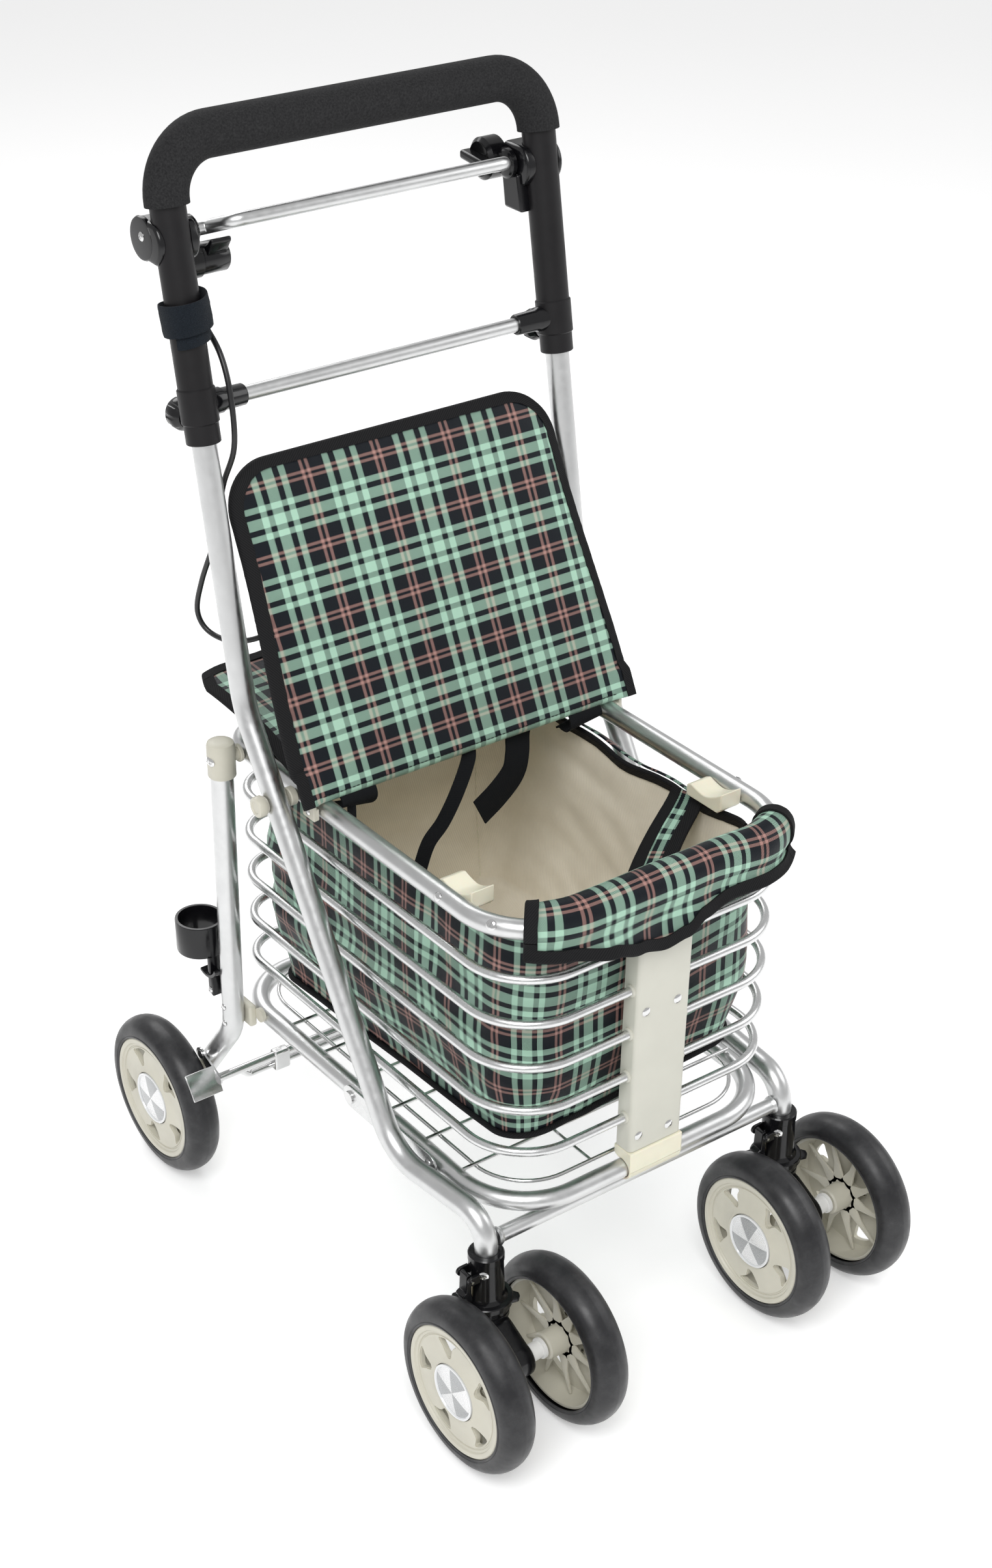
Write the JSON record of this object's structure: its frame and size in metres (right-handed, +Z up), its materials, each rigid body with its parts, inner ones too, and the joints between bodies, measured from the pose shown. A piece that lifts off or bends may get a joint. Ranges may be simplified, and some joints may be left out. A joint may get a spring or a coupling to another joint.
{
  "type": "shopping trolley",
  "caption": "Four-cornered shopping trolley with a wire basket and plaid bag, a padded seat lid, a loop handle with a brake bar and twin swivel wheels in front.",
  "frame": {"origin": "on the floor, under the middle of the trolley's box", "axes": "+Z up, the trolley rolls towards -Y, its handle and user are at +Y, +X is its right seen from the front"},
  "size_m": [0.4344, 0.62, 0.9334],
  "materials": {
    "silver_tube": "satin drawn aluminium tube",
    "bright_steel": "bright plated steel wire and rod",
    "black_plastic": "glossy black moulded plastic",
    "black_tube": "black satin lacquered tube",
    "grip_foam": "fine closed-cell black foam",
    "beige_plastic": "satin grey-beige moulded plastic",
    "cream_plastic": "satin cream moulded plastic",
    "plate_paint": "smooth beige lacquer",
    "tyre_rubber": "dark grey soft tyre, slightly glossy",
    "plaid_cloth": "coated navy and mint plaid cloth with black binding",
    "strap_cloth": "fuzzy black hook-and-loop strap"
  },
  "bodies": {
    "frame": {"side_tube_left": "silver_tube", "side_tube_right": "silver_tube", "rear_leg_left": "silver_tube", "rear_leg_right": "silver_tube", "leg_cap_left": "beige_plastic", "leg_cap_right": "beige_plastic", "leg_spacer_left": "beige_plastic", "leg_spacer_right": "beige_plastic", "rim_knob_left": "beige_plastic", "rim_knob_right": "beige_plastic", "ring_bracket_left": "bright_steel", "ring_bracket_right": "bright_steel", "rim_stopper_left": "cream_plastic", "rim_stopper_right": "cream_plastic", "caster_socket_left": "black_plastic", "caster_socket_right": "black_plastic", "top_rim": "silver_tube", "bottom_ring": "silver_tube", "basket_rod_1": "silver_tube", "basket_rod_2": "silver_tube", "basket_rod_3": "silver_tube", "basket_rod_4": "silver_tube", "basket_rod_5": "silver_tube", "front_plate": "plate_paint", "front_clip": "cream_plastic", "floor_grid": "bright_steel", "front_cross_tube": "silver_tube", "cane_holder": "black_plastic", "bag": "plaid_cloth", "rear_flap": "plaid_cloth", "seat_hinge": "bright_steel", "brake_cable": "black_plastic"},
    "handle": {"handle_tube": "black_tube", "foam_grip": "grip_foam", "crossbar": "silver_tube", "wrist_strap": "strap_cloth", "brake_bracket_left": "black_plastic", "brake_bracket_right": "black_plastic"},
    "brake_bar": {"brake_bar": "silver_tube"},
    "parking_lever": {"parking_lever": "black_plastic"},
    "adjust_knob_left": {"adjust_knob_left": "black_plastic"},
    "adjust_knob_right": {"adjust_knob_right": "black_plastic"},
    "seat_lid": {"seat_lid": "plaid_cloth"},
    "rear_brake": {"rear_brake": "bright_steel"},
    "caster_left": {"caster_fork_left": "black_plastic"},
    "caster_right": {"caster_fork_right": "black_plastic"},
    "swivel_lock_left": {"swivel_lock_left": "black_plastic"},
    "swivel_lock_right": {"swivel_lock_right": "black_plastic"},
    "wheel_rear_left": {"tyre_rear_left": "tyre_rubber", "hub_rear_left": "beige_plastic"},
    "wheel_rear_right": {"tyre_rear_right": "tyre_rubber", "hub_rear_right": "beige_plastic"},
    "wheel_front_left_a": {"tyre_front_left_a": "tyre_rubber", "hub_front_left_a": "beige_plastic"},
    "wheel_front_left_b": {"tyre_front_left_b": "tyre_rubber", "hub_front_left_b": "beige_plastic"},
    "wheel_front_right_a": {"tyre_front_right_a": "tyre_rubber", "hub_front_right_a": "beige_plastic"},
    "wheel_front_right_b": {"tyre_front_right_b": "tyre_rubber", "hub_front_right_b": "beige_plastic"}
  },
  "joints": [
    {"name": "handle_height", "type": "slide", "parent": "frame", "child": "handle", "axis": [0, 0.1822, 0.9833], "range_m": [-0.03, 0.05], "deforming": ["brake_cable"]},
    {"name": "brake_squeeze", "type": "hinge", "parent": "handle", "child": "brake_bar", "pos_m": [0, 0.188, 0.852], "axis": [-1, 0, 0], "range_deg": [0, 28], "stiffness_Nm_per_rad": 0.6, "springref_deg": -17.19},
    {"name": "parking_lever_turn", "type": "hinge", "parent": "handle", "child": "parking_lever", "pos_m": [-0.125, 0.192, 0.829], "axis": [1, 0, 0], "range_deg": [0, 40]},
    {"name": "adjust_knob_left_turn", "type": "hinge", "parent": "handle", "child": "adjust_knob_left", "pos_m": [-0.165, 0.1501, 0.725], "axis": [0, 1, 0], "range_deg": [-180, 180]},
    {"name": "adjust_knob_right_turn", "type": "hinge", "parent": "handle", "child": "adjust_knob_right", "pos_m": [0.165, 0.1501, 0.725], "axis": [0, 1, 0], "range_deg": [-180, 180]},
    {"name": "seat_lid_fold", "type": "hinge", "parent": "frame", "child": "seat_lid", "pos_m": [0, 0.042, 0.466], "axis": [1, 0, 0], "range_deg": [0, 116.5]},
    {"name": "rear_brake_press", "type": "hinge", "parent": "frame", "child": "rear_brake", "pos_m": [0, 0.199, 0.131], "axis": [1, 0, 0], "range_deg": [0, 3.5]},
    {"name": "caster_left_swivel", "type": "hinge", "parent": "frame", "child": "caster_left", "pos_m": [-0.155, -0.195, 0.112], "axis": [0, 0, 1], "continuous": true},
    {"name": "swivel_lock_left_press", "type": "hinge", "parent": "frame", "child": "swivel_lock_left", "pos_m": [-0.175, -0.195, 0.146], "axis": [0, 1, 0], "range_deg": [0, 10]},
    {"name": "wheel_front_left_a_roll", "type": "hinge", "parent": "caster_left", "child": "wheel_front_left_a", "pos_m": [-0.2012, -0.235, 0.075], "axis": [1, 0, 0], "continuous": true},
    {"name": "wheel_front_left_b_roll", "type": "hinge", "parent": "caster_left", "child": "wheel_front_left_b", "pos_m": [-0.1088, -0.235, 0.075], "axis": [1, 0, 0], "continuous": true},
    {"name": "wheel_rear_left_roll", "type": "hinge", "parent": "frame", "child": "wheel_rear_left", "pos_m": [-0.1964, 0.235, 0.075], "axis": [1, 0, 0], "continuous": true},
    {"name": "caster_right_swivel", "type": "hinge", "parent": "frame", "child": "caster_right", "pos_m": [0.155, -0.195, 0.112], "axis": [0, 0, 1], "continuous": true},
    {"name": "swivel_lock_right_press", "type": "hinge", "parent": "frame", "child": "swivel_lock_right", "pos_m": [0.135, -0.195, 0.146], "axis": [0, 1, 0], "range_deg": [0, 10]},
    {"name": "wheel_front_right_a_roll", "type": "hinge", "parent": "caster_right", "child": "wheel_front_right_a", "pos_m": [0.1088, -0.235, 0.075], "axis": [1, 0, 0], "continuous": true},
    {"name": "wheel_front_right_b_roll", "type": "hinge", "parent": "caster_right", "child": "wheel_front_right_b", "pos_m": [0.2012, -0.235, 0.075], "axis": [1, 0, 0], "continuous": true},
    {"name": "wheel_rear_right_roll", "type": "hinge", "parent": "frame", "child": "wheel_rear_right", "pos_m": [0.1964, 0.235, 0.075], "axis": [1, 0, 0], "continuous": true}
  ],
  "couplings": [
    {"joint": "rear_brake_press", "follows": "brake_squeeze", "ratio": 0.125}
  ]
}
